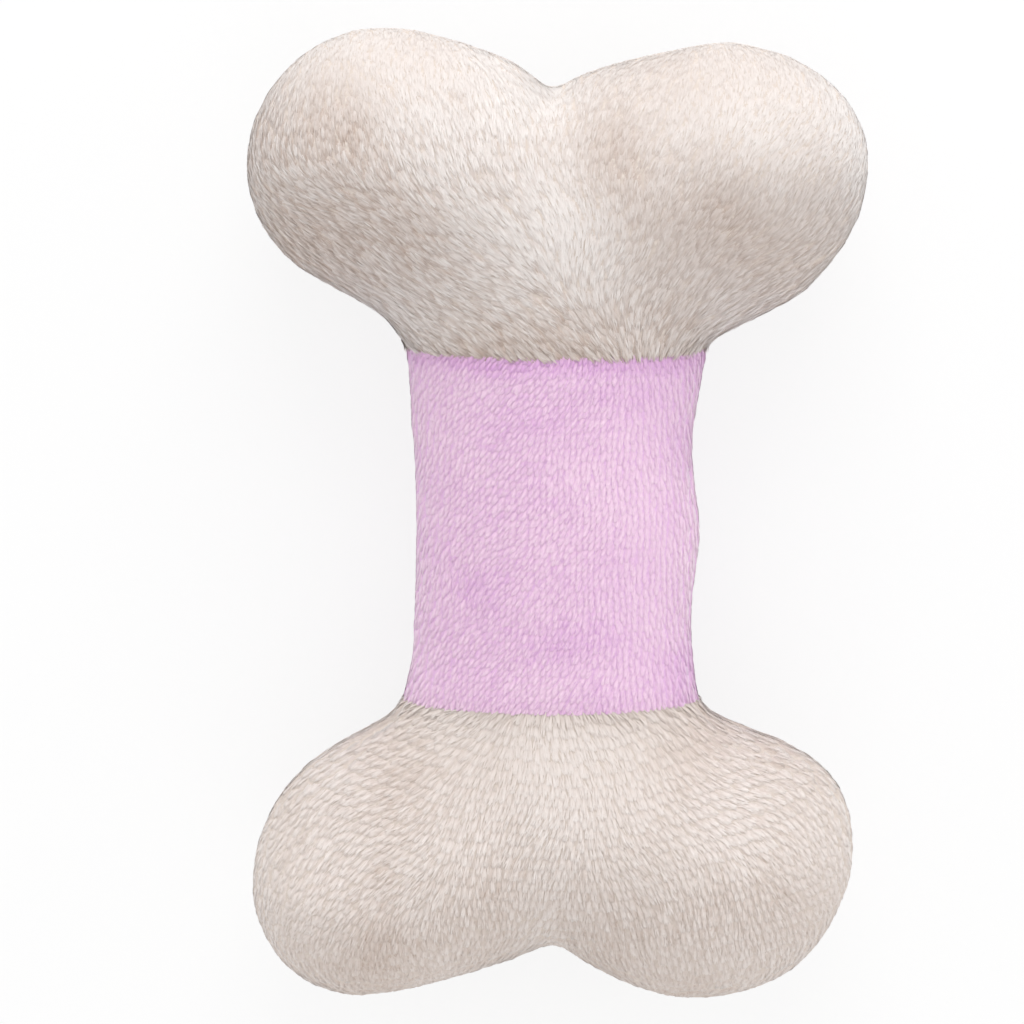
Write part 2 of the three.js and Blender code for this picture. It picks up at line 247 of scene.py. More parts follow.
def addLamp(name, spec):
    data = bpy.data.lights.new(name, "AREA")
    data.size = spec["size"]
    data.energy = spec["watts"]
    lamp = bpy.data.objects.new(name, data)
    lamp.location = spec["place"]
    toToy = Vector((0, 0, seamZ)) - lamp.location
    lamp.rotation_euler = toToy.to_track_quat("-Z", "Y").to_euler()
    scene.collection.objects.link(lamp)


def shownRay(wire):                              # 1 where the camera sees it, also in gloss and glass
    camera = wire.node("ShaderNodeLightPath", output="Is Camera Ray")
    glossy = wire.node("ShaderNodeLightPath", output="Is Glossy Ray")
    through = wire.node("ShaderNodeLightPath", output="Is Transmission Ray")
    return wire.sum("MAXIMUM", camera, wire.sum("MAXIMUM", glossy, through))


def lightTheSet(setup):
    for name in ("key", "fill", "left", "right"):
        addLamp(name, setup[name])
    world = bpy.data.worlds.new("studio")
    world.use_nodes = True
    scene.world = world
    wire = Wire(world.node_tree)
    background = world.node_tree.nodes["Background"]
    background.inputs["Color"].default_value = plainWhite
    (shownRay(wire) * (1 - setup["sky"]) + setup["sky"]).into(background.inputs["Strength"])
    scene.view_settings.view_transform = "Standard"


def layFloor(look):
    bm = bmesh.new()
    bmesh.ops.create_grid(bm, x_segments=1, y_segments=1, size=look["halfSize"])
    bmesh.ops.translate(bm, verts=bm.verts, vec=(0, 0, -look["drop"]))
    floor = addObject("floor", bm)
    material, wire, shader = newMaterial("paleFloor", Base_Color=look["colour"], Roughness=look["roughness"])
    glow = wire.node("ShaderNodeEmission", None, {"Color": plainWhite, "Strength": 1.0})
    lit = Wire(wire.tree, shader.outputs[0])
    white = shownRay(wire) * look["whiteShare"]
    mixed = wire.node("ShaderNodeMixShader", None, {0: white, 1: lit, 2: glow})
    mixed.into(wire.tree.nodes["Material Output"].inputs["Surface"])
    floor.data.materials.append(material)


placeCamera(cameraSetup)
lightTheSet(lightSetup)
layFloor(floorLook)
print("camera, light and floor set")


# Materials
pileLook = {
    "roughness": 0.85, "gloss": 0.15, "sheen": 0.5, "sheenRoughness": 0.5,
    "rootShadeShare": 0.7,                            # how far up a strand the painted shade at its root reaches
}
clothLook = {
    "roughness": 0.95, "gloss": 0.1, "stitches": 220.0, "unevenness": 2.0, "cloud": 60.0, "cloudDetail": 4.0,
    "knitShare": 0.6, "bump": 0.4, "bumpDepth": 0.4 * mm,
}
fibreLook = {
    "roughness": 1.0, "gloss": 0.1, "sheen": 0.2, "deep": "#dad6cf", "pale": "#faf8f4",
    "wisps": 320.0, "detail": 8.0, "curl": 3.0, "bump": 0.7, "bumpDepth": 1.0 * mm,
}
threadLook = {"roughness": 0.7, "gloss": 0.3, "twist": 900.0, "bump": 0.5, "bumpDepth": 0.1 * mm}
mouldedLook = {
    "cloud": 140.0, "cloudDetail": 5.0, "grain": 1500.0, "grainDetail": 2.0, "roughSpread": 0.2,
    "bump": 0.15, "bumpDepth": 0.1 * mm,
}


def pileMaterial(name, dark, middle, light, rootShade, look=pileLook):
    material, wire, shader = newMaterial(
        name, Roughness=look["roughness"], Specular_IOR_Level=look["gloss"],
        Sheen_Weight=look["sheen"], Sheen_Roughness=look["sheenRoughness"])
    place = wire.node("ShaderNodeUVMap", {"uv_map": "OFBake"})
    shade = wire.node("ShaderNodeSeparateXYZ", None, {0: place}, output=0)
    along = wire.node("ShaderNodeSeparateXYZ", None, {0: place}, output=1)
    # the dark stop is warm: the colour that painted shade and darker tone take
    stops = [(0.0, tint(dark)), (0.5, tint(middle)), (1.0, tint(light))]
    tip = wire.node("ShaderNodeValToRGB", {"stops": stops}, {0: shade})
    # strands are darker at the root, a painted shade for roots lying under the other strands
    lift = wire.node("ShaderNodeMapRange", None, {0: along, 1: 0.0, 2: look["rootShadeShare"], 3: 0.0, 4: 1.0})
    blendColours(wire, lift, tint(rootShade), tip).into(shader.inputs["Base Color"])
    return material


def stitchRows(wire, place, direction, look):
    return wire.node("ShaderNodeTexWave", {"bands_direction": direction},
                     {"Vector": place, "Scale": look["stitches"], "Distortion": look["unevenness"]}, output=1)


def clothMaterial(name, ground, valley, look=clothLook):   # knitted backing under the pile
    material, wire, shader = newMaterial(name, Roughness=look["roughness"], Specular_IOR_Level=look["gloss"])
    place = wire.node("ShaderNodeTexCoord", output="Object")
    rows = stitchRows(wire, place, "Y", look)
    ribs = stitchRows(wire, place, "X", look)
    cloud = wire.node("ShaderNodeTexNoise", None,
                      {"Vector": place, "Scale": look["cloud"], "Detail": look["cloudDetail"]})
    knit = rows * ribs
    knitAndCloud = knit * look["knitShare"] + cloud * (1 - look["knitShare"])
    # darker in the knit's valleys, which is painted shade, and cloudy in tone
    blendColours(wire, knitAndCloud, tint(valley), tint(ground)).into(shader.inputs["Base Color"])
    addBump(wire, shader, knit, look)
    return material


def fibreMaterial(name, look):
    material, wire, shader = newMaterial(
        name, Roughness=look["roughness"], Specular_IOR_Level=look["gloss"], Sheen_Weight=look["sheen"])
    place = wire.node("ShaderNodeTexCoord", output="Object")
    curls = {"Vector": place, "Scale": look["wisps"], "Detail": look["detail"], "Distortion": look["curl"]}
    wisps = wire.node("ShaderNodeTexNoise", None, curls)
    blendColours(wire, wisps, tint(look["deep"]), tint(look["pale"])).into(shader.inputs["Base Color"])
    addBump(wire, shader, wisps, look)
    return material


def threadMaterial(name, pale, deep, look=threadLook):
    material, wire, shader = newMaterial(name, Roughness=look["roughness"], Specular_IOR_Level=look["gloss"])
    place = wire.node("ShaderNodeTexCoord", output="Object")
    twist = wire.node("ShaderNodeTexWave", {"bands_direction": "DIAGONAL"},
                      {"Vector": place, "Scale": look["twist"]}, output=1)
    blendColours(wire, twist, tint(deep), tint(pale)).into(shader.inputs["Base Color"])
    addBump(wire, shader, twist, look)
    return material


def mouldedMaterial(name, pale, deep, roughness, look=mouldedLook, **fixed):
    material, wire, shader = newMaterial(name, **fixed)
    place = wire.node("ShaderNodeTexCoord", output="Object")
    cloud = wire.node("ShaderNodeTexNoise", None,
                      {"Vector": place, "Scale": look["cloud"], "Detail": look["cloudDetail"]})
    grain = wire.node("ShaderNodeTexNoise", None,
                      {"Vector": place, "Scale": look["grain"], "Detail": look["grainDetail"]})
    blendColours(wire, cloud, tint(deep), tint(pale)).into(shader.inputs["Base Color"])
    spread = look["roughSpread"]
    (grain * spread + (roughness - spread / 2)).into(shader.inputs["Roughness"])
    addBump(wire, shader, grain, look)
    return material


# one grey pile in two copies: the lower copy warmer and the upper cooler, painted to how the light falls on
# each end
upperGreyPile = pileMaterial("upperGreyPile", "#b8a396", "#e4ddd9", "#f6f2ef", "#dacfc9")
lowerGreyPile = pileMaterial("lowerGreyPile", "#b7a192", "#e4dad4", "#f6f0ed", "#daccc4")
lilacPile = pileMaterial("lilacPile", "#d7a4d7", "#edcee4", "#f5ddec", "#e5bdda")
greyCloth = clothMaterial("greyCloth", "#e0d5cd", "#cfc2b8")
lilacCloth = clothMaterial("lilacCloth", "#ebc7e5", "#deb2dc")
fibrefill = fibreMaterial("fibrefill", fibreLook)
greyThread = threadMaterial("greyThread", "#ddd2ca", "#c2b4aa")
lilacThread = threadMaterial("lilacThread", "#ecc9e4", "#d7a9d3")
bulbVinyl = mouldedMaterial("bulbVinyl", "#f6f4ee", "#e6e2d8", 0.5, Subsurface_Weight=0.1)
whistlePlastic = mouldedMaterial("whistlePlastic", "#f2f2ef", "#e2e2de", 0.35)
reedFilm = mouldedMaterial("reedFilm", "#dfe6e8", "#c8d2d6", 0.2)
print("materials made")


# The stuffed cover: one filled form, blown out between its held seams, then cut into its panels
stuffing = {
    "voxel": 2.1 * mm,
    "smoothing": 5,
    "seat": -0.45 * mm,                          # pile stands this far out of the solids
    "slack": 0.6 * mm,                           # how much smaller it starts between the seams
    "slackRun": 9.0 * mm,
    "hold": 1.5 * mm,                            # half width of a held seam
    "pressure": 50.0,
    "vertexMass": 0.0005,
    "stiffness": 1.0,
    "shearShare": 1 / 3,
    "bendShare": 0.01,
    "damping": 12.0,
    "airDamping": 1,
    "quality": 5,
    "frames": 24,
    "cap": 1.0 * mm,
}
handSettling = {                                 # how this one toy's filling has settled, in mm
    "rim": [                                     # x, y, outward push, reach
        (-46, 43, 1.0, 7), (-34, 37, 0.2, 7), (-28, 32, 0.5, 4), (-48, 72, -0.4, 12), (-9, 78, 0.6, 6),
        (31, 32, 1.2, 5), (39, 38, 1.2, 7), (48, 53, -0.5, 8), (50, 62, -0.4, 22), (22, 79, -1.2, 11),
        (29, 83, 0.5, 5), (-40, -44, 1.2, 12), (-36, -80, 0.4, 16), (44, -46, 1.0, 9), (47, -72, -0.4, 8),
        (42, -78, 0.7, 12), (20, -83, 0.5, 12), (25, 13, -1.1, 9), (25, -3, 0.8, 7), (25, -19, -0.8, 9),
        (-27, -24, -0.4, 6), (-27, -31, 0.7, 5), (-1.4, 76, -1.4, 4), (-0.7, -77, -1.1, 4),
    ],
    "valley": [                                  # x, y, depth, half width, run along the bone
        (-1.4, 78, 3.6, 9, 36), (-0.7, -78, 2.2, 9, 30),
    ],
}
settlingWay = {
    "seamMargin": 1 * mm, "bandLift": 1.3, "endMiddle": 45 * mm, "valleyFade": 1.5, "halfDepth": 24 * mm,
}


def outward(co, way=settlingWay):                # away from the middle of the band or of the end
    if lowerSeamY - way["seamMargin"] < co.y < upperSeamY + way["seamMargin"]:
        return Vector((co.x, 0, (co.z - seamZ) * way["bandLift"])).normalized()
    return Vector((co.x, co.y - math.copysign(way["endMiddle"], co.y), 0)).normalized()


def settled(co, way=settlingWay):                # where a point of the outer cloth or its thread ends up
    x, y = co.x / mm, co.y / mm
    push = 0
    for a, b, amount, reach in handSettling["rim"]:
        push += amount * math.exp(-((x - a) ** 2 + (y - b) ** 2) / reach ** 2)
    moved = co + outward(co) * push * mm
    for a, b, depth, wide, run in handSettling["valley"]:
        share = math.exp(-((x - a) / wide) ** 2) * max(0, 1 - abs(y - b) / run) ** way["valleyFade"]
        moved.z += (seamZ - co.z) / way["halfDepth"] * depth * share * mm
    return moved


def outerIsland(bm):                             # drops the faces round inner hollows
    left = set(bm.verts)
    islands = []
    while left:
        reached = {left.pop()}
        edge = list(reached)
        while edge:
            vert = edge.pop()
            near = [e.other_vert(vert) for e in vert.link_edges]
            fresh = [v for v in near if v in left]
            left.difference_update(fresh)
            reached.update(fresh)
            edge.extend(fresh)
        islands.append(reached)
    islands.sort(key=len)
    inner = [v for island in islands[:-1] for v in island]
    bmesh.ops.delete(bm, geom=inner, context="VERTS")


def fromSeam(co):                                # distance to the nearest seam's plane
    return min(abs(co.z - seamZ), abs(co.y - upperSeamY), abs(co.y - lowerSeamY))


def filledForm(spec):
    names = [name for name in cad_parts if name.endswith(("_panel", "_stuffing"))]
    form = addObject("filledForm", nodeCopy(*names))
    remeshEvenly(form, spec["voxel"])
    bm = openMesh(form)
    outerIsland(bm)
    soften(bm, spec["smoothing"])
    for vert in bm.verts:
        vert.co = settled(vert.co)
    bm.normal_update()
    for vert in bm.verts:
        loose = smoothStep(fromSeam(vert.co), 0, spec["slackRun"])
        vert.co -= vert.normal * (spec["seat"] + spec["slack"] * loose)
    closeMesh(bm, form)
    return form


def blowOut(form, spec):
    start = np.array([v.co for v in form.data.vertices])
    held = [v.index for v in form.data.vertices if fromSeam(v.co) < spec["hold"]]
    form.vertex_groups.new(name="seams").add(held, 1.0, "REPLACE")
    cloth = form.modifiers.new("cloth", "CLOTH")
    settings = cloth.settings
    settings.quality = spec["quality"]
    settings.mass = spec["vertexMass"]
    settings.tension_stiffness = settings.compression_stiffness = spec["stiffness"]
    settings.shear_stiffness = spec["stiffness"] * spec["shearShare"]
    settings.bending_stiffness = spec["stiffness"] * spec["bendShare"]
    settings.tension_damping = settings.compression_damping = spec["damping"]
    settings.shear_damping = spec["damping"]
    settings.air_damping = spec["airDamping"]
    settings.use_pressure = True
    settings.uniform_pressure_force = spec["pressure"]
    settings.vertex_group_mass = "seams"
    settings.effector_weights.gravity = 0
    cloth.point_cache.frame_start = 1
    cloth.point_cache.frame_end = spec["frames"]
    for step in range(1, spec["frames"] + 1):
        scene.frame_set(step)
    applyModifiers(form)
    scene.frame_set(1)
    move = np.array([v.co for v in form.data.vertices]) - start
    far = np.linalg.norm(move, axis=1, keepdims=True)
    end = start + move * np.minimum(1, spec["cap"] / np.maximum(far, tiny))
    form.data.vertices.foreach_set("co", end.astype(np.float32).ravel())
    most, mean = (round(float(d) / mm, 2) for d in (far.max(), far.mean()))
    print("blown out by up to", most, "mm, mean", mean, "mm")


form = filledForm(stuffing)
blowOut(form, stuffing)
subdivide = form.modifiers.new("subdivide", "SUBSURF")
subdivide.levels = subdivide.render_levels = 1
applyModifiers(form)
print("filled form:", len(form.data.polygons), "faces")

coverCut = {
    "gap": 0.02 * mm,                            # half the gap left at a seam
    "crease": 0.15 * mm,
    "edgeCrease": 0.35 * mm,
    "creaseReach": 2.5 * mm,
    "cloth": 1.2 * mm,
    "floor": 0.5 * mm,
}


def drawSeamsIn(form, spec):
    bm = openMesh(form)
    bm.normal_update()
    for vert in bm.verts:
        fromCross = min(abs(vert.co.y - upperSeamY), abs(vert.co.y - lowerSeamY)) / spec["creaseReach"]
        fromEdge = abs(vert.co.z - seamZ) / spec["creaseReach"]
        drawn = spec["crease"] * max(0, 1 - fromCross) ** 2 + spec["edgeCrease"] * max(0, 1 - fromEdge) ** 2
        vert.co -= vert.normal * drawn
    closeMesh(bm, form)


def keepSideOf(bm, point, normal):               # cuts away what lies behind a plane
    geometry = bm.verts[:] + bm.edges[:] + bm.faces[:]
    bmesh.ops.bisect_plane(bm, geom=geometry, plane_co=point, plane_no=normal, clear_inner=True)


def cutPanel(name, planes, spec):                # planes point to the side that is kept
    bm = openMesh(form)
    for point, normal in planes:
        keepSideOf(bm, Vector(point) + Vector(normal) * spec["gap"], normal)
    for vert in bm.verts:
        vert.co.z = max(vert.co.z, spec["floor"])
    return addObject(name, bm)


drawSeamsIn(form, coverCut)
upperSeam, lowerSeam, edgeSeam = (0, upperSeamY, 0), (0, lowerSeamY, 0), (0, 0, seamZ)
plusY, minusY, plusZ, minusZ = (0, 1, 0), (0, -1, 0), (0, 0, 1), (0, 0, -1)
panelPlanes = {
    "upperFront": [(upperSeam, plusY), (edgeSeam, plusZ)],
    "upperBack": [(upperSeam, plusY), (edgeSeam, minusZ)],
    "lowerFront": [(lowerSeam, minusY), (edgeSeam, plusZ)],
    "lowerBack": [(lowerSeam, minusY), (edgeSeam, minusZ)],
    "centreFront": [(upperSeam, minusY), (lowerSeam, plusY), (edgeSeam, plusZ)],
    "centreBack": [(upperSeam, minusY), (lowerSeam, plusY), (edgeSeam, minusZ)],
}
skins = {name: cutPanel(name + "Skin", planes, coverCut) for name, planes in panelPlanes.items()}
for obj in (form, *skins.values()):
    scene.collection.objects.unlink(obj)
print("panels cut")


# Pile: strands planted all over a panel's skin and gathered into tufts
strandWays = {                                   # shared by every pile
    "swirlReach": 22 * mm,
    "rowReach": 9 * mm, "rowWander": 0.5, "rowFrom": 0.6,
    "lengths": (0.75, 1.15), "overhangs": (0.4, 1.4), "rises": (0.7, 1.2),   # spread from strand to strand
    "tuftLengths": (0.4, 2), "tuftStretch": 0.6, "tuftEdge": 1.2,
    "leastCalm": 0.2, "flatRise": 0.4,           # rise left where the pile is brushed flat
    "crownRise": 1.3, "edgeRise": 0.2, "fringeRun": 1.5 * mm,
    "leastCut": 0.3, "bow": 0.1, "belly": 1.9,   # belly is the girth at the middle
    "middleShade": 0.5, "shadeEnds": (0.03, 0.97), "mapMargin": 0.02,
    "overFloor": 0.05 * mm, "leastTurn": 0.05,
}
napWays = {
    "upper": {"sweep": 2.6, "reach": 30 * mm, "fade": 1.25, "top": 88 * mm, "meet": 12 * mm},
    "lower": {"sweep": 1.8, "reach": 30 * mm, "fade": 1.3, "foot": -86 * mm},
    "band": {"lean": -0.55, "turn": 0.75, "turnFrom": -2 * mm, "turnTo": 20 * mm},
}
waveMix = {"count": 7, "pitches": (0.6, 1.6), "level": 3}


def strandTemplate():                            # a narrow strip from foot to tip
    bm = bmesh.new()
    bmesh.ops.create_grid(bm, x_segments=1, y_segments=2, size=1)
    ends = [v for v in bm.verts if v.co.y > 0.5]
    bmesh.ops.pointmerge(bm, verts=ends, merge_co=(0, 1, 0))
    bmesh.ops.triangulate(bm, faces=bm.faces)
    bm.verts.index_update()
    points = np.array([v.co for v in bm.verts])
    faces = np.array([[v.index for v in f.verts] for f in bm.faces])
    bm.free()
    return points[:, 0], (points[:, 1] + 1) / 2, faces


def waves(x, y, reach, seed):                    # smooth random field, about -1 to 1
    rng = np.random.default_rng(seed)
    total = np.zeros_like(x)
    for _ in range(waveMix["count"]):
        angle, phase = rng.uniform(0, 2 * math.pi, 2)
        pitch = 2 * math.pi / (reach * rng.uniform(*waveMix["pitches"]))
        total += np.sin((x * math.cos(angle) + y * math.sin(angle)) * pitch + phase)
    return total / waveMix["level"]


def spotted(x, y, spots):                        # soft spots: x, y, half width, half height in mm, amount
    total = np.zeros_like(x)
    for middleX, middleY, wide, high, amount in spots:
        total += amount * np.exp(-((x / mm - middleX) / wide) ** 2 - ((y / mm - middleY) / high) ** 2)
    return total


def napUpper(x, y, way=napWays["upper"]):        # falls towards the neck
    low = 1 - smoothStep(y, upperSeamY, way["top"])
    meet = way["meet"] * low                     # the two sides meet right of the middle
    return -way["sweep"] * np.tanh((x - meet) / way["reach"]) * low ** way["fade"]


def napLower(x, y, way=napWays["lower"]):        # fans out from the neck
    low = smoothStep(y, way["foot"], lowerSeamY)
    return way["sweep"] * x / way["reach"] * low ** way["fade"]


def napBand(x, y, way=napWays["band"]):          # leans left, upright at the right
    return way["lean"] + way["turn"] * smoothStep(x, way["turnFrom"], way["turnTo"])


def skinArrays(obj):
    mesh = obj.data
    mesh.calc_loop_triangles()
    corners = np.empty(len(mesh.loop_triangles) * 3, np.int32)
    mesh.loop_triangles.foreach_get("vertices", corners)
    points = np.empty(len(mesh.vertices) * 3, np.float32)
    mesh.vertices.foreach_get("co", points)
    normals = np.empty(len(mesh.vertices) * 3, np.float32)
    mesh.vertex_normals.foreach_get("vector", normals)
    return corners.reshape(-1, 3), points.reshape(-1, 3).astype(float), normals.reshape(-1, 3).astype(float)


def scatter(arrays, count, rng):
    corners, points, normals = arrays
    a, b, c = (points[corners[:, k]] for k in range(3))
    size = np.linalg.norm(np.cross(b - a, c - a), axis=1)
    chosen = rng.choice(len(corners), count, p=size / size.sum())
    share = rng.random((count, 2))
    flip = share.sum(axis=1) > 1
    share[flip] = 1 - share[flip]
    weights = np.column_stack([1 - share.sum(axis=1), share])
    roots = sum(points[corners[chosen, k]] * weights[:, k:k + 1] for k in range(3))
    lean = sum(normals[corners[chosen, k]] * weights[:, k:k + 1] for k in range(3))
    return roots, lean / np.linalg.norm(lean, axis=1, keepdims=True)


def layAlong(flat, lean, face):                  # turns a flat nap direction with the surface
    axis = np.array([0, 0, face])
    reach = np.sum(flat * lean, axis=1) / np.maximum(1 + lean @ axis, strandWays["leastTurn"])
    laid = flat - reach[:, None] * (axis + lean)
    laid -= np.sum(laid * lean, axis=1)[:, None] * lean
    return laid / np.linalg.norm(laid, axis=1, keepdims=True)


def without(vectors, along):                     # takes out the part that runs along a direction
    return vectors - np.sum(vectors * along, axis=1)[:, None] * along


def nearestOf(places, points):
    tree = kdtree.KDTree(len(places))
    for index, place in enumerate(places):
        tree.insert(place, index)
    tree.balance()
    return np.array([tree.find(point)[1] for point in points])


def onKnit(tufts, knit, seed):                   # one tuft to each stitch of the knitted backing
    x, y = tufts[:, 0], tufts[:, 1]
    shiftX, shiftY = (knit["wander"] * waves(x, y, knit["wanderReach"], seed + k) for k in (5, 6))
    shiftY -= knit["sag"] * np.hypot(x, knit["sagRun"])
    line = np.floor((y + shiftY) / knit["course"])
    stagger = knit["stagger"] * (line % 2)
    place = np.floor((x + shiftX) / knit["wale"] + stagger)
    first = np.unique(np.column_stack([line, place, tufts[:, 2] > seamZ]), axis=0, return_index=True)[1]
    offX, offY = np.random.default_rng(seed + 7).normal(0.5, knit["loose"], (2, len(x)))
    middleX = (place + offX - stagger) * knit["wale"] - shiftX
    middleY = (line + offY) * knit["course"] - shiftY
    return np.column_stack([middleX, middleY, tufts[:, 2]])[first]


formTree = BVHTree.FromPolygons([v.co for v in form.data.vertices], [f.vertices for f in form.data.polygons])


def seatOn(points, heights):                     # lays points over the filled form, with its normals there
    seated, under = np.empty_like(points), np.empty_like(points)
    for index, point in enumerate(points):
        place, normal = formTree.find_nearest(point)[:2]
        seated[index] = place + normal * heights[index]
        under[index] = normal
    return seated, under


def endTogether(pull, aside, way, length, spec):   # a stitch's strands end in one rounded crown
    knit = spec["knit"]
    ahead = np.sum(pull * way, axis=1)
    wing = np.linalg.norm(aside, axis=1) / (knit["wale"] / 2)
    outOf = np.hypot(wing, strandWays["tuftStretch"] * ahead / knit["course"])
    crown = 1 - knit["roundTip"] * np.minimum(wing, strandWays["tuftEdge"]) ** 2
    end = (ahead + knit["course"] * crown) / (1 - spec["back"])
    shortest, longest = strandWays["tuftLengths"]
    return outOf, np.clip(end, shortest * length, longest * length)


def endInRows(x, y, pull, length, spec):         # loose tufts whose strands end near wandering rows
    rows = spec["row"]
    outOf = np.linalg.norm(pull, axis=1) / spec["tuftReach"]
    wander = waves(x, y, strandWays["rowReach"], spec["seed"] + 2)
    along = -y + strandWays["rowWander"] * rows * wander
    return outOf, rows * np.ceil((along + strandWays["rowFrom"] * length) / rows) - along


def strandShades(x, y, calm, outOf, owner, tuftCount, spec, rng):
    # the listed spots paint light and shade onto the pile, along with a few darker patches
    shade = strandWays["middleShade"] + spotted(x, y, spec["patchesAndPaintedLight"])
    shade = shade + spec["cloud"] * waves(x, y, spec["cloudReach"], spec["seed"] + 3)
    # painted shade between tufts: a strand is darker the nearer its root lies to its tuft's edge
    shade -= spec["paintedEdgeShade"] * calm * np.minimum(outOf, strandWays["tuftEdge"]) ** 2
    shade += rng.normal(0, spec["tuftShade"], tuftCount)[owner] * calm
    shade += rng.normal(0, spec["strandShade"], len(x)) * calm
    return np.clip(shade, *strandWays["shadeEnds"])


def plantPile(name, skin, face, nap, spec, keepSide=0):
    rng = np.random.default_rng(spec["seed"])
    arrays = skinArrays(skin)
    roots, lean = scatter(arrays, spec["count"], rng)
    tufts = scatter(arrays, spec["tufts"], rng)[0]
    if spec["knit"]:
        tufts = onKnit(tufts, spec["knit"], spec["seed"])
    if keepSide:                                 # only the upper or the lower half
        kept = (roots[:, 1] - bandY) * keepSide >= 0
        roots, lean = roots[kept], lean[kept]
    x, y = roots[:, 0], roots[:, 1]
    swirl = spec["swirl"] * waves(x, y, strandWays["swirlReach"], spec["seed"] + 1)
    swirl = swirl + rng.normal(0, spec["jitter"], len(x))
    turn = np.arctan(nap(x, y)) + swirl
    flat = np.column_stack([np.sin(turn), -np.cos(turn), np.zeros_like(turn)])
    way = layAlong(flat, lean, face)

    owner = nearestOf(tufts, roots)
    pull = without(tufts[owner] - roots, lean)
    aside = without(pull, way)
    gather = aside * spec["gather"]
    calm = np.clip(1 - spotted(x, y, spec["calm"]), strandWays["leastCalm"], 1)

    length = spec["length"] * rng.uniform(*strandWays["lengths"], len(x))
    if spec["knit"]:                             # outOf is 0 in the middle of a tuft, 1 at its edge
        outOf, end = endTogether(pull, aside, way, length, spec)
    else:
        outOf, end = endInRows(x, y, pull, length, spec)
    length += (end - length) * spec["rowShare"]
    foot = roots - way * (spec["back"] * length)[:, None]
    tip = foot + way * length[:, None] + gather
    limit = spec["stopY"] - spec["overhang"] * rng.uniform(*strandWays["overhangs"], len(tufts))[owner]
    cut = (foot[:, 1] - limit) / np.maximum(foot[:, 1] - tip[:, 1], tiny)
    cut = np.where(tip[:, 1] < limit, np.clip(cut, strandWays["leastCut"], 1), 1)
    tip = foot + (tip - foot) * cut[:, None]     # sheared short where it hangs over a seam
    middle = (foot + tip) / 2 - strandWays["bow"] * gather * cut[:, None]
    edge = np.minimum(np.abs(y - upperSeamY), np.abs(y - lowerSeamY))
    rise = spec["rise"] * (strandWays["flatRise"] + (1 - strandWays["flatRise"]) * calm)
    rise = rise * rng.uniform(*strandWays["rises"], len(x))
    rise *= np.clip(strandWays["crownRise"] - outOf ** 2, strandWays["edgeRise"], strandWays["crownRise"])
    rise *= 1 + spec["fringe"] * np.exp(-edge / strandWays["fringeRun"])
    seats = [seatOn(foot, np.full(len(x), -spec["sink"])), seatOn(middle, rise), seatOn(tip, rise)]
    shade = strandShades(x, y, calm, outOf, owner, len(tufts), spec, rng)

    across, share, faces = strandTemplate()
    bend = [(1 - share) * (1 - 2 * share), 4 * share * (1 - share), share * (2 * share - 1)]
    spine, under = (sum(b[None, :, None] * s[k][:, None, :] for b, s in zip(bend, seats)) for k in (0, 1))
    atMiddle = (share > 0.2) & (share < 0.8)
    girth = np.where(atMiddle, strandWays["belly"], 1.0) * spec["width"] / 2
    side = np.cross(way[:, None, :], under)
    sideways = side / np.linalg.norm(side, axis=2, keepdims=True) * across[None, :, None]
    points = spine + sideways * girth[None, :, None]
    points[:, :, 2] = np.maximum(points[:, :, 2], strandWays["overFloor"])
    mound = -pull / spec["tuftReach"] * (spec["crown"] * calm)[:, None]   # each tuft is shaded as a low mound
    normals = (lean[:, None, :] + under) / 2 + sideways * spec["round"] + mound[:, None, :]
    return pileObject(name, points, normals, faces, shade, across, share)


def pileObject(name, points, normals, faces, shade, across, share):
    count, size = points.shape[:2]
    index = (faces[None] + (np.arange(count) * size)[:, None, None]).reshape(-1)
    mesh = bpy.data.meshes.new(name)
    mesh.vertices.add(count * size)
    mesh.vertices.foreach_set("co", points.astype(np.float32).ravel())
    mesh.loops.add(len(index))
    mesh.loops.foreach_set("vertex_index", index.astype(np.int32))
    mesh.polygons.add(len(index) // 3)
    mesh.polygons.foreach_set("loop_start", np.arange(0, len(index), 3, dtype=np.int32))
    mesh.update(calc_edges=True)
    shadeMap = mesh.uv_layers.new(name="OFBake")     # a strand's shade across, and its length up the map
    margin = strandWays["mapMargin"]
    u = shade[:, None] + across[None] * margin
    v = np.broadcast_to(share * (1 - 2 * margin) + margin, u.shape)
    both = np.stack([u, v], axis=2).reshape(-1, 2)[index]
    shadeMap.uv.foreach_set("vector", both.astype(np.float32).ravel())
    mesh.shade_smooth()
    normals = normals.reshape(-1, 3)                 # shaded as one soft surface, not as single strands
    mesh.normals_split_custom_set_from_vertices(normals / np.linalg.norm(normals, axis=1, keepdims=True))
    obj = bpy.data.objects.new(name, mesh)
    scene.collection.objects.link(obj)
    return obj


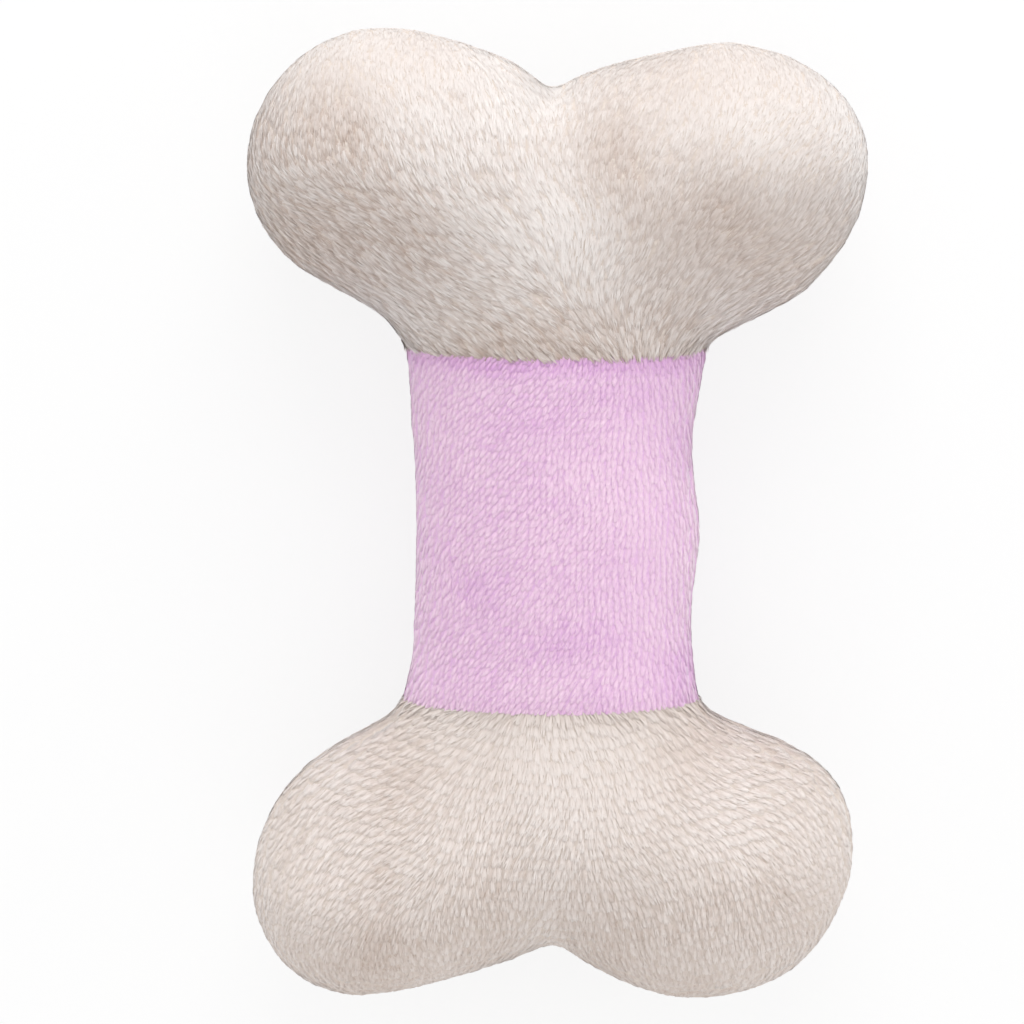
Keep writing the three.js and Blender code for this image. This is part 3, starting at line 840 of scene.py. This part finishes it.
longPile = {                                     # upper end
    "count": 60000, "tufts": 5500, "tuftReach": 0.65 * mm, "length": 3.2 * mm, "width": 0.14 * mm,
    "rise": 0.12 * mm, "round": 0.2, "crown": 0.28, "back": 0.25, "sink": 0.04 * mm,
    "fringe": 2.5, "stopY": upperSeamY, "overhang": 1.0 * mm, "knit": None,
    "row": 1.5 * mm, "rowShare": 0.15, "gather": 0.6, "swirl": 0.22, "jitter": 0.12,
    "cloud": 0.07, "cloudReach": 26 * mm, "paintedEdgeShade": 0.16, "tuftShade": 0.05, "strandShade": 0.09,
    "seed": 11,
    # painted light and shade: darker at the neck, in the armpits, down the flanks, in the valley between the
    # lobes and across them, lighter in the middle, by the notch and at the right side
    "patchesAndPaintedLight": [
        (0, 30, 45, 16, -0.19), (-16, 31, 16, 3, -0.1), (-39, 70, 9, 9, -0.27), (-47, 49, 13, 10, -0.3),
        (-32, 60, 12, 12, -0.1), (-54, 62, 7, 13, -0.12), (10, 67, 8, 10, -0.27), (28, 56, 14, 11, -0.24),
        (42, 47, 14, 9, -0.2), (53, 64, 6, 12, 0.15), (28, 79, 20, 7, -0.12), (-4, 54, 15, 9, 0.12),
        (-3, 73, 9, 5, 0.15),
    ],
    "calm": [                                    # where the pile is brushed flat
        (-30, 80, 26, 9, 0.8), (30, 76, 26, 11, 0.8), (40, 55, 16, 18, 0.5), (2, 58, 16, 14, 0.4),
        (20, 50, 14, 13, 0.35),
    ],
}
tuftedPile = {                                   # lower end
    **longPile, "stopY": -1.0, "length": 2.2 * mm, "rowShare": 0.85, "gather": 0.4, "swirl": 0.25,
    "crown": 0.25, "paintedEdgeShade": 0.13, "strandShade": 0.07, "seed": 23, "tufts": 24000,
    "knit": {
        "wale": 1.03 * mm, "course": 1.9 * mm, "stagger": 0.5, "loose": 0.15, "roundTip": 0.12,
        "wander": 0.5 * mm, "wanderReach": 24 * mm, "sag": 0.25, "sagRun": 15 * mm,
    },
    # painted shade along the bottom and down the right side, painted light at the neck, in the middle and on
    # the lobes, and a few small darker patches
    "patchesAndPaintedLight": [
        (0, -87, 60, 11, -0.33), (-26, -43, 7, 5, -0.07), (-29, -72, 10, 6, -0.1), (23, -39, 9, 6, -0.05),
        (0, -36, 14, 5, 0.1), (0, -53, 14, 9, 0.14), (-40, -55, 12, 8, 0.08), (32, -53, 12, 9, 0.1),
        (51, -62, 7, 14, -0.08),
    ],
    "calm": [(-50, -62, 7, 16, 0.7), (48, -62, 7, 16, 0.55), (0, -38, 28, 9, 0.65), (0, -82, 60, 8, 0.4)],
}
shortPile = {                                    # band
    "count": 60000, "tufts": 30000, "tuftReach": 0.5 * mm, "length": 1.8 * mm, "width": 0.11 * mm,
    "rise": 0.1 * mm, "round": 0.2, "crown": 0.2, "back": 0.25, "sink": 0.03 * mm,
    "fringe": 1.0, "stopY": lowerSeamY, "overhang": 0.4 * mm,
    "knit": {
        "wale": 1.03 * mm, "course": 1.2 * mm, "stagger": 0, "loose": 0.16, "roundTip": 0.3,
        "wander": 0.3 * mm, "wanderReach": 24 * mm, "sag": 0, "sagRun": 15 * mm,
    },
    "rowShare": 0.8, "gather": 0.55, "swirl": 0.15, "jitter": 0.1,
    "cloud": 0.06, "cloudReach": 17 * mm, "paintedEdgeShade": 0.16, "tuftShade": 0.06, "strandShade": 0.13,
    "seed": 37,
    "patchesAndPaintedLight": [
        (-9, 19, 8, 4, -0.1), (6, 23, 9, 4, -0.15), (22, 10, 4, 9, -0.2), (-13, -10, 6, 5, -0.2),
        (1, -19, 9, 5, -0.2), (22, -25, 5, 7, -0.25),            # pressed the other way
        # a painted shadow under the grey fringe along the upper seam, and lighter spots towards the right
        # edge
        (0, 29, 40, 2, -0.42), (24, -1, 3, 12, 0.3), (12, 4, 8, 10, 0.08),
    ],
    "calm": [(-26, 0, 5, 40, 0.5), (17, -2, 9, 40, 0.4)],
}
frontShortPile = {**shortPile, "count": 110000}


def bendUpper(obj):
    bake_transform(obj)


def bendLower(obj):
    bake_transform(obj)


def dent(obj, toUpper):                          # bakes the piece's placement into its mesh; the slope across the band that it works out is not used, so nothing is pressed in
    rise = bandTop - seamZ
    run = (upperSeamY - bandY) * toUpper
    slope = Vector((0, -1 / run, 1 / rise))
    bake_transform(obj)


def dentUpper(obj):
    dent(obj, 1)


def dentLower(obj):
    dent(obj, -1)


def rideMiddle(obj):
    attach(obj, "middle")


def coverPanel(name, skin, moves, cloth, node):
    panel = addObject(name, openMesh(skin))
    wall = panel.modifiers.new("wall", "SOLIDIFY")
    wall.thickness = coverCut["cloth"]
    wall.offset = -1
    applyModifiers(panel)
    finishWith(panel, cloth)
    moves(panel)
    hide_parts(node)


def halfSkin(name, skin, sideY):
    bm = openMesh(skin)
    keepSideOf(bm, (0, bandY, 0), (0, sideY, 0))
    half = addObject(name, bm)
    scene.collection.objects.unlink(half)
    return half


def coverGrey(name, node, face, nap, spec, look, moves):
    coverPanel(name + "Cover", skins[name], moves, greyCloth, node)
    pile = plantPile(name + "Pile", skins[name], face, nap, spec)
    moves(finishWith(pile, look))


coverGrey("upperFront", "upper_front_panel", 1, napUpper, longPile, upperGreyPile, bendUpper)
coverGrey("upperBack", "upper_back_panel", -1, napUpper, {**longPile, "seed": 12}, upperGreyPile, bendUpper)
coverGrey("lowerFront", "lower_front_panel", 1, napLower, tuftedPile, lowerGreyPile, bendLower)
coverGrey("lowerBack", "lower_back_panel", -1, napLower, {**tuftedPile, "seed": 24}, lowerGreyPile, bendLower)

for name, toward, moves in (("centreFrontUpper", 1, dentUpper), ("centreFrontLower", -1, dentLower)):
    half = halfSkin(name, skins["centreFront"], toward)
    coverPanel(name + "Cover", half, moves, lilacCloth, "centre_front_panel")
    pile = plantPile(name + "Pile", skins["centreFront"], 1, napBand, frontShortPile, keepSide=toward)
    moves(finishWith(pile, lilacPile))
coverPanel("centreBackCover", skins["centreBack"], rideMiddle, lilacCloth, "centre_back_panel")
backPile = plantPile("centreBackPile", skins["centreBack"], -1, napBand, {**shortPile, "seed": 38})
rideMiddle(finishWith(backPile, lilacPile))
print("covers and pile done")


# Filling, thread and squeaker
fillingLook = {"voxel": 2.4 * mm, "smoothing": 3, "inset": 0.7 * mm, "lump": 0.6 * mm, "lumpPitch": 130.0}
threadTuck = 0.4 * mm                            # how far the threads are drawn in under the pile


def lumpyFilling(name, node, spec):
    wad = addObject(name, nodeCopy(node))
    remeshEvenly(wad, spec["voxel"])
    bm = openMesh(wad)
    soften(bm, spec["smoothing"])
    bm.normal_update()
    for vert in bm.verts:
        lump = noise.noise(vert.co * spec["lumpPitch"]) * spec["lump"]
        vert.co += vert.normal * (lump - spec["inset"])
    closeMesh(bm, wad)
    finishWith(wad, fibrefill)
    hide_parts(node)
    return wad


def sewnThread(name, node, material):  # the thread lies where the settled cloth pulls it
    bm = nodeCopy(node)
    for vert in bm.verts:
        vert.co = settled(vert.co) - outward(vert.co) * threadTuck
    thread = addObject(name, bm)
    finishWith(thread, material)
    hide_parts(node)
    return thread


for end, moves in (("upper", bendUpper), ("lower", bendLower)):
    for hand in ("left", "right"):
        moves(lumpyFilling(f"{end}{hand.title()}Filling", f"{end}_{hand}_stuffing", fillingLook))
    moves(sewnThread(f"{end}EdgeThread", f"{end}_edge_thread", greyThread))
    for face in ("front", "back"):
        node = f"{end}_{face}_thread"
        rideMiddle(sewnThread(f"{end}{face.title()}Thread", node, greyThread))
rideMiddle(sewnThread("leftSideThread", "left_side_thread", lilacThread))
rideMiddle(sewnThread("closingStitch", "closing_stitch", lilacThread))

rideMiddle(lumpyFilling("centreBackFilling", "centre_back_stuffing", fillingLook))
frontFilling = lumpyFilling("centreFrontFilling", "centre_front_stuffing", fillingLook)
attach(frontFilling, "middle")
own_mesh(frontFilling)

bulb = addObject("squeakerBulb", nodeCopy("squeaker_bulb"))
finishWith(bulb, bulbVinyl)
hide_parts("squeaker_bulb")
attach(bulb, "middle")
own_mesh(bulb)

nodeFinish = {
    "whistle_housing": whistlePlastic, "reed_bed": whistlePlastic, "reed_clamp": whistlePlastic,
    "reed_tongue": reedFilm,
}
for node, material in nodeFinish.items():
    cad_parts[node].data.materials.clear()
    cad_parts[node].data.materials.append(material)
print("filling, thread and squeaker done")
